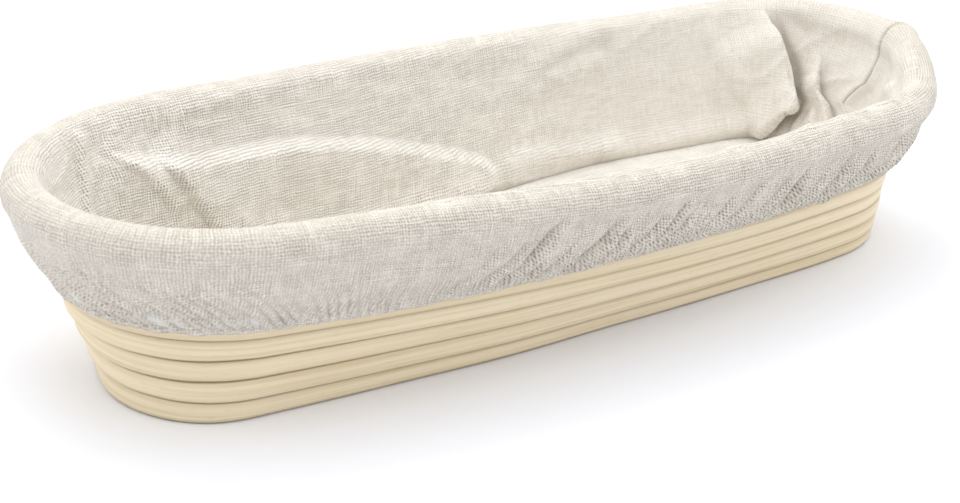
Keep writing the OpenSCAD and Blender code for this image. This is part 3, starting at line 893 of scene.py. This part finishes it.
pucker_reach *= PUCKER_REACH(columns)
pucker *= pucker_size * np.exp(-over_hem / pucker_reach) * smooth(over_hem / 3.5 + 0.12)
push += pucker
wide = girth_noise(pucker_u, 5, height / 25, 44)
push += 0.7 * wide * np.exp(-over_hem / 12) * smooth(over_hem / 3)

# Each crease is a groove with a ridge beside it, from the hem up to the right.
rng = np.random.default_rng(45)
crease = np.zeros_like(height)
for start in np.arange(CREASE_FROM, 1.04, CREASE_STEP):
    at = start + rng.uniform(-0.8, 0.8) * CREASE_STEP
    low, tall, tilt = rng.uniform(0, 4), rng.uniform(12, 28), rng.uniform(0.7, 1.0)
    deep, width = rng.uniform(0.8, 3.0), rng.uniform(0.8, 1.4)
    foot_z = HEM_Z + low
    line = [(at, foot_z), (at + 0.5 * tall * tilt / GIRTH, foot_z + 0.5 * tall)]
    line.append((at + 0.9 * tall * tilt / GIRTH, foot_z + tall))
    d, along, _ = nearest(line)
    fade = smooth(along / 0.2) * smooth((1 - along) / 0.5)
    weaker = 1 - 0.75 * smooth((start - CREASE_WEAK_FROM) / CREASE_WEAK_OVER)
    fade = fade * smooth((start - CREASE_FROM) / 0.06 + 0.4) * weaker
    crease -= deep * hump(d, width) * fade
    crease += 0.8 * deep * hump(d + 2.0 * width, 1.5 * width) * fade
crease = np.where(is_inside, 0, crease * smooth(over_hem / 5))
push += crease
swing = girth_noise(girth_mm, 55, 0 * height, 46)
push += np.where(is_inside, 0, 0.5 * swing * smooth(over_hem / 8) * smooth((60 - height) / 10))

# The end seam is a groove between two swollen lips at the right tip, and its line wanders.
SEAM_CUT_IN, SEAM_CUT_OUT, SEAM_CUT_W = 4.6, 1.2, 0.5
# Strength of the painted shade in the end seam's groove, inside and outside, and its width.
SEAM_DARK_IN, SEAM_DARK_OUT, SEAM_DARK_W = 1.4, 0.6, 0.55
SEAM_END = 4.0
WANDER_Z = [20, 31, 36, 39, 41.5, 46, 49, 53, 60, 64, 70]
WANDER = [-3, -7, -6.3, -1, -2.6, -7, -11.2, -12.8, -13.2, -13.2, -12.5]
WANDER_REACH = 22.0
tip_mm = ((columns + 0.5) % 1.0 - 0.5) * GIRTH
lips = 1.8 * hump(tip_mm, 5)
seam_cut = np.where(is_inside, SEAM_CUT_IN, SEAM_CUT_OUT)
lips = lips - seam_cut * hump(tip_mm, SEAM_CUT_W)
push += np.where(over_hem < SEAM_END, 0, lips * smooth((height - seam_heights) / 6))
wander = np.interp(height, WANDER_Z, WANDER)
outside_wander = WANDER[-1] * (height - HEM_Z) / (WANDER_Z[-1] - HEM_Z)
wander = np.where(is_inside, wander, outside_wander) * hump(tip_mm, WANDER_REACH)

# Painted shade: the cloth is darkened where it is drawn into a groove or a seam, and under and just
# past a lap.
fold = np.where(is_inside, 0, 0.35 * np.clip(-pucker - 0.7 * crease, 0, 1))
seam_dark = np.where(is_inside, SEAM_DARK_IN, SEAM_DARK_OUT)
fold += np.where(over_hem < SEAM_END, 0, seam_dark * hump(tip_mm, SEAM_DARK_W))
fold += np.where(is_inside, 0.7 * hump(height - seam_heights, 0.9), 0)
fold += np.where(is_inside, 0.85 * np.clip(inside_step[3], 0, 1) * inside_fade, 0)

# The hem's edge is uneven.
hem_wave = 0.35 * girth_noise(columns * GIRTH, 6, 0 * columns, 47)
hem_wave += 0.4 * girth_noise(columns * GIRTH, 60, 0 * columns, 48)
height = height + np.where(is_inside, 0, hem_wave * np.exp(-over_hem / 5))

offset = offset + normal_o * push
height = height + normal_z * push
# Below the roll over the rim, the cloth stays clear of the cane.
CLEAR_IN, CLEAR_OUT, CLEAR_TO_Z = 0.9, 0.75, 60.0
wall_in = lean_at(height) - CANE_T - CLEAR_IN
wall_out = lean_at(height) + CLEAR_OUT
below = height < CLEAR_TO_Z
offset = np.where(is_inside & below, np.minimum(offset, wall_in), offset)
offset = np.where(~is_inside & below, np.maximum(offset, wall_out), offset)

height = height + shift_z
column_steps = step_at((girth_mm + wander + shift_u) / GIRTH)
foot, out = oval_steps(*FOOT, column_steps)
side_points = off_plan(foot, out, offset, height)
side_uv = np.stack([girth_mm, row_share * line_length], -1)
# How far each point is inside the liner: it sets the inside's weave and its painted paler colour.
inside_share = smooth((top_rows - np.arange(SIDE_ROWS)[:, None]) / 12 + 0.15)

# The weave is drawn open where the cloth is pulled tight, and closer where it hangs slack. The drawn
# share also makes the cloth paler, so its values round the girth also paint light and shade: darker
# where it is low, as at the right end, and paler where it is high, as inside at the left.
DRAWN_INSIDE = by_girth(
    (0, 0.3), (0.1, 0.4), (0.16, 0.5), (0.25, 0.95), (0.33, 1.1), (0.385, 1.45), (0.44, 1.2),
    (0.5, 0.8), (0.6, 0.8), (0.9, 0.6),
)
DRAWN_CUFF = by_girth(
    (0, 0.5), (0.06, 0.6), (0.25, 0.9), (0.45, 0.8), (0.55, 0.85), (0.62, 1), (0.75, 1.1),
    (0.9, 1.15), (0.955, 0.95), (0.98, 0.6),
)
drawn = DRAWN_CUFF(columns)
drawn = drawn + (DRAWN_INSIDE(columns) - drawn) * inside_share


def open_band(values):
    """Adds a last column on top of the first, so that the band ends at its seam."""
    return np.concatenate([values, values[:, :1]], 1)


side_uv = open_band(side_uv)
side_uv[:, -1, 0] = GIRTH
side = mesh_object(
    "liner_side_cloth",
    open_band(side_points).reshape(-1, 3),
    grid_faces(SIDE_ROWS, COLUMNS + 1),
    CLOTH,
    side_uv.reshape(-1, 2),
    "cloth",
    {
        "inside": open_band(inside_share).ravel(),
        "fold": open_band(fold).ravel(),
        "drawn": open_band(drawn).ravel(),
    },
)

# The floor panel hangs from the floor seam and lies on the base in the middle.
FLOOR_PAINTED_LIGHT, FLOOR_DRAWN = 0.35, 0.8
rho = np.linspace(0, 1, FLOOR_ROWS)[:, None]
seam_line = side_points[0]
half_a, half_b, half_r = (v + offset[0].mean() for v in FOOT)
inset = (1 - rho) * (half_b - FLOOR_MIDDLE)
floor_plan, _ = oval_steps(
    half_a - inset,
    half_b - inset,
    half_r * (half_b - inset) / half_b,
    np.repeat(column_steps[:1], FLOOR_ROWS, 0),
)
rise = smooth((rho - 0.25) / 0.75)
blend_edge = smooth((rho - 0.5) / 0.5)[..., None]
floor_xy = floor_plan + (seam_line[:, :2] - floor_plan[-1]) * blend_edge
floor_x, floor_y = floor_plan[..., 0], floor_plan[..., 1]
ripple = 0.6 + 0.5 * grid_noise(floor_x / 22 + 40, floor_y / 16 + 40, 51)
ripple += 0.25 * grid_noise(floor_x / 9 + 40, floor_y / 9 + 40, 52)
floor_z = FLOOR_Z + (seam_line[:, 2] - FLOOR_Z) * rise + ripple * smooth((1 - rho) * 6)
floor_z = np.maximum(floor_z, FLOOR_LEAST_Z)
floor_points = np.stack([floor_xy[..., 0], floor_xy[..., 1], floor_z], -1)
floor_points[-1] = seam_line
floor_uv = np.stack([floor_points[..., 0] + 500, floor_points[..., 1] + 500], -1)
# Painted shade along the floor seam.
floor_fold_shade = np.repeat(0.6 * hump(1 - rho, 0.02), COLUMNS, 1)
# Towards the seam at the back the floor is painted paler: painted light on a strip that lies in the
# near wall's shade.
floor_painted_light = FLOOR_PAINTED_LIGHT * smooth((rho - 0.4) / 0.4) * smooth(floor_y / 15)
# Faces across the middle join the two sides of the first row.
near_side = np.arange(COLUMNS // 2 - 1)
far_side = COLUMNS - 1 - near_side
middle_faces = np.stack([near_side + 1, near_side, far_side, far_side - 1], -1)
floor = mesh_object(
    "liner_floor_cloth",
    floor_points.reshape(-1, 3),
    np.vstack([grid_faces(FLOOR_ROWS, COLUMNS, closed_columns=True), middle_faces]),
    CLOTH,
    floor_uv.reshape(-1, 2),
    "cloth",
    {
        "inside": np.ones(FLOOR_ROWS * COLUMNS),
        "painted_light": floor_painted_light.ravel(),
        "drawn": np.full(FLOOR_ROWS * COLUMNS, FLOOR_DRAWN),
        "fold": floor_fold_shade.ravel(),
    },
)

for piece in (side, floor):
    solid = piece.modifiers.new("thickness", "SOLIDIFY")
    solid.thickness = CLOTH_T * MM
    solid.offset = -1
    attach(piece, "liner")
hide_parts("liner_side")
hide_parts("liner_floor")

# The elastic lies in the hem, rippled as it draws the cloth in.
BAND_STEPS, BAND_RIPPLES, BAND_RIPPLE = 720, 150, 0.15
# Its corners: the gap from the wall's outer face, and the height.
BAND_SECTION = ((1.25, 33.2), (1.6, 33.2), (1.6, 37.8), (1.25, 37.8))
band_s = np.arange(BAND_STEPS) / BAND_STEPS
band_foot, band_out = oval_steps(*FOOT, step_at(band_s))
band_ripple = BAND_RIPPLE * np.sin(2 * math.pi * band_s * BAND_RIPPLES)
band_rings = []
for gap, z in BAND_SECTION:
    band_z = z + HEM_UP(band_s)
    band_o = lean_at(band_z) + gap + band_ripple
    band_rings.append(off_plan(band_foot, band_out, band_o, band_z))
elastic = mesh_object(
    "elastic_band",
    np.stack(band_rings, 1).reshape(-1, 3),
    grid_faces(BAND_STEPS, len(BAND_SECTION), closed_rows=True, closed_columns=True),
    BAND,
)
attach(elastic, "liner")
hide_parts("hem_elastic")


# Sewing threads: short stitches along a line of points, arched and thinner at their ends.
STITCH_ARCH = np.array([-0.6, 0.35, 0.5, 0.35, -0.6])
STITCH_WIDTH = np.array([0.45, 0.9, 1.0, 0.9, 0.45])
STITCH_SIDES = 6
# For the hem and for the seams: the gap between stitches, their length and their thickness.
HEM_STITCH, SEAM_STITCH = (1.1, 2.4, 0.34), (1.4, 1.8, 0.3)
HEM_STITCH_UP = 4.2


def stitches(name, path, normals, gap, size, thick):
    """Stitches of a size along a path, each a small rounded bar pressed into the cloth."""
    cut = lengths_along(path)
    starts = np.arange(gap, cut[-1] - size - gap, size + gap)
    arch, width = STITCH_ARCH * thick, STITCH_WIDTH * thick / 2
    angle = np.arange(STITCH_SIDES) * 2 * math.pi / STITCH_SIDES
    verts, faces = [], []
    for begin in starts:
        at = np.linspace(begin, begin + size, len(arch))
        c = np.stack([np.interp(at, cut, path[:, j]) for j in range(3)], -1)
        n = unit(np.stack([np.interp(at, cut, normals[:, j]) for j in range(3)], -1))
        across = np.cross(n, unit(c[-1] - c[0]))
        base = len(verts) * STITCH_SIDES
        for k in range(len(arch)):
            verts.append(
                c[k]
                + n[k] * arch[k]
                + np.outer(np.cos(angle), across[k]) * width[k]
                + np.outer(np.sin(angle), n[k]) * width[k]
            )
        faces.append(grid_faces(len(arch), STITCH_SIDES, closed_columns=True) + base)
    thread = mesh_object(name, np.vstack(verts), np.vstack(faces), THREAD)
    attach(thread, "liner")
    return thread


def surface(row, column):
    """A point of the band and its outward normal, for whole rows and columns."""
    p = side_points[row, column]
    du = side_points[row, (column + 2) % COLUMNS] - side_points[row, (column - 2) % COLUMNS]
    above, below = np.minimum(row + 2, SIDE_ROWS - 1), np.maximum(row - 2, 0)
    return p, unit(np.cross(du, side_points[above, column] - side_points[below, column]))


all_columns = np.arange(COLUMNS)
hem_rows = np.argmin(np.abs(over_hem - HEM_STITCH_UP) + 99 * is_inside, axis=0)
hem_thread = stitches("hem_stitches", *surface(hem_rows, all_columns), *HEM_STITCH)
seam_rows = np.arange(4, SIDE_ROWS - 10)
beside_seam = surface(seam_rows, np.full(len(seam_rows), 2))
end_thread = stitches("end_seam_stitches", *beside_seam, *SEAM_STITCH)
over_floor = surface(np.full(COLUMNS, 2), all_columns)
floor_thread = stitches("floor_seam_stitches", *over_floor, *SEAM_STITCH)

# Camera, as the photograph's: a long lens, left of the front and above, with its focus on the basket.
FOCAL_PX, PIC_W = 1984.0, 960.0
PITCH_DEG, YAW_DEG, ROLL_DEG = 24.50, -34.87, 2.75
SHIFT_R, SHIFT_U, DISTANCE = -9.6, 10.7, 689.0
FSTOP = 28.0
pitch, yaw, roll = (math.radians(v) for v in (PITCH_DEG, YAW_DEG, ROLL_DEG))
back = Vector((math.sin(yaw) * math.cos(pitch), -math.cos(yaw) * math.cos(pitch), math.sin(pitch)))
right = Vector((math.cos(yaw), math.sin(yaw), 0))
up = back.cross(right)
right, up = (
    math.cos(roll) * right + math.sin(roll) * up,
    math.cos(roll) * up - math.sin(roll) * right,
)
camera = bpy.data.objects.new("camera", bpy.data.cameras.new("camera"))
camera.data.sensor_width = 36
camera.data.lens = FOCAL_PX / PIC_W * camera.data.sensor_width
camera.data.clip_start = 0.01
camera.data.dof.use_dof = True
camera.data.dof.focus_object = floor
camera.data.dof.aperture_fstop = FSTOP
spot = (back * DISTANCE + right * SHIFT_R + up * SHIFT_U) * MM
turn = Matrix((right, up, back)).transposed()
camera.matrix_world = Matrix.Translation(spot) @ turn.to_4x4()
bpy.context.collection.objects.link(camera)
bpy.context.scene.camera = camera

# Stage: a pale floor that turns white far off, and large soft lamps on all sides.
bpy.context.scene.view_settings.view_transform = "Standard"
GROUND_HALF, GROUND_Z = 4000.0, -0.05
WHITE_FROM, WHITE_TO = 0.45, 0.9
SKY = 0.44


def seen_directly(tree):
    """1 for rays by which the camera sees a surface, also in metal or through glass, or else 0."""
    rays = tree.nodes.new("ShaderNodeLightPath")
    seen = rays.outputs["Is Camera Ray"]
    for kind in ("Is Glossy Ray", "Is Transmission Ray"):
        either = tree.nodes.new("ShaderNodeMath")
        either.operation = "MAXIMUM"
        tree.links.new(seen, either.inputs[0])
        tree.links.new(rays.outputs[kind], either.inputs[1])
        seen = either.outputs[0]
    return seen


def paper_material():
    """White paper with the basket's shadow, plain white where it is far off and seen directly."""
    m = Nodes("paper")
    m.set(Base_Color=(0.905, 0.92, 0.965, 1), Roughness=0.9, Specular_IOR_Level=0.1)
    far_off = m.add("ShaderNodeVectorMath", operation="LENGTH")
    m.put(m.add("ShaderNodeNewGeometry").outputs["Position"], far_off.inputs[0])
    far_share = m.range(far_off.outputs["Value"], WHITE_FROM, WHITE_TO)
    fade_out = m.add("ShaderNodeMixShader")
    m.put(m.math("MULTIPLY", far_share, seen_directly(m.tree)), fade_out.inputs[0])
    m.put(m.shader.outputs[0], fade_out.inputs[1])
    m.put(m.add("ShaderNodeEmission", Strength=1.0).outputs[0], fade_out.inputs[2])
    m.put(fade_out.outputs[0], m.tree.nodes["Material Output"].inputs["Surface"])
    return m.material


corners = ((-1, -1), (1, -1), (1, 1), (-1, 1))
corners = [(x * GROUND_HALF, y * GROUND_HALF, GROUND_Z) for x, y in corners]
ground = mesh_object("ground", corners, [[0, 1, 2, 3]], paper_material())

world = bpy.data.worlds.new("world")
world.use_nodes = True
bpy.context.scene.world = world
tree = world.node_tree
sky, white = tree.nodes["Background"], tree.nodes.new("ShaderNodeBackground")
for light, strength in ((sky, SKY), (white, 1.0)):
    light.inputs["Color"].default_value = (1, 1, 1, 1)
    light.inputs["Strength"].default_value = strength
both = tree.nodes.new("ShaderNodeMixShader")
for part, socket in zip((seen_directly(tree), sky.outputs[0], white.outputs[0]), both.inputs):
    tree.links.new(part, socket)
tree.links.new(both.outputs[0], tree.nodes["World Output"].inputs["Surface"])

# Round white lamps that face the basket: place and size in metres, and power in watts.
LAMPS = {
    "top": ((-0.06, 0.35, 1.5), 1.8, 6.3),
    "back": ((0.0, 1.0, 1.2), 1.4, 8.2),
    "front": ((0.36, -0.8, 1.2), 1.5, 8.6),
    "left": ((-1.1, 0.3, 1.0), 1.5, 7.6),
    "right": ((1.0, 0.2, 1.1), 1.5, 5.4),
}
for name, (place, size, power) in LAMPS.items():
    lamp = bpy.data.lights.new(name, "AREA")
    lamp.shape = "DISK"
    lamp.size = size
    lamp.energy = power
    stand = bpy.data.objects.new(name, lamp)
    stand.location = place
    stand.rotation_euler = (-Vector(place)).to_track_quat("-Z", "Y").to_euler()
    bpy.context.collection.objects.link(stand)
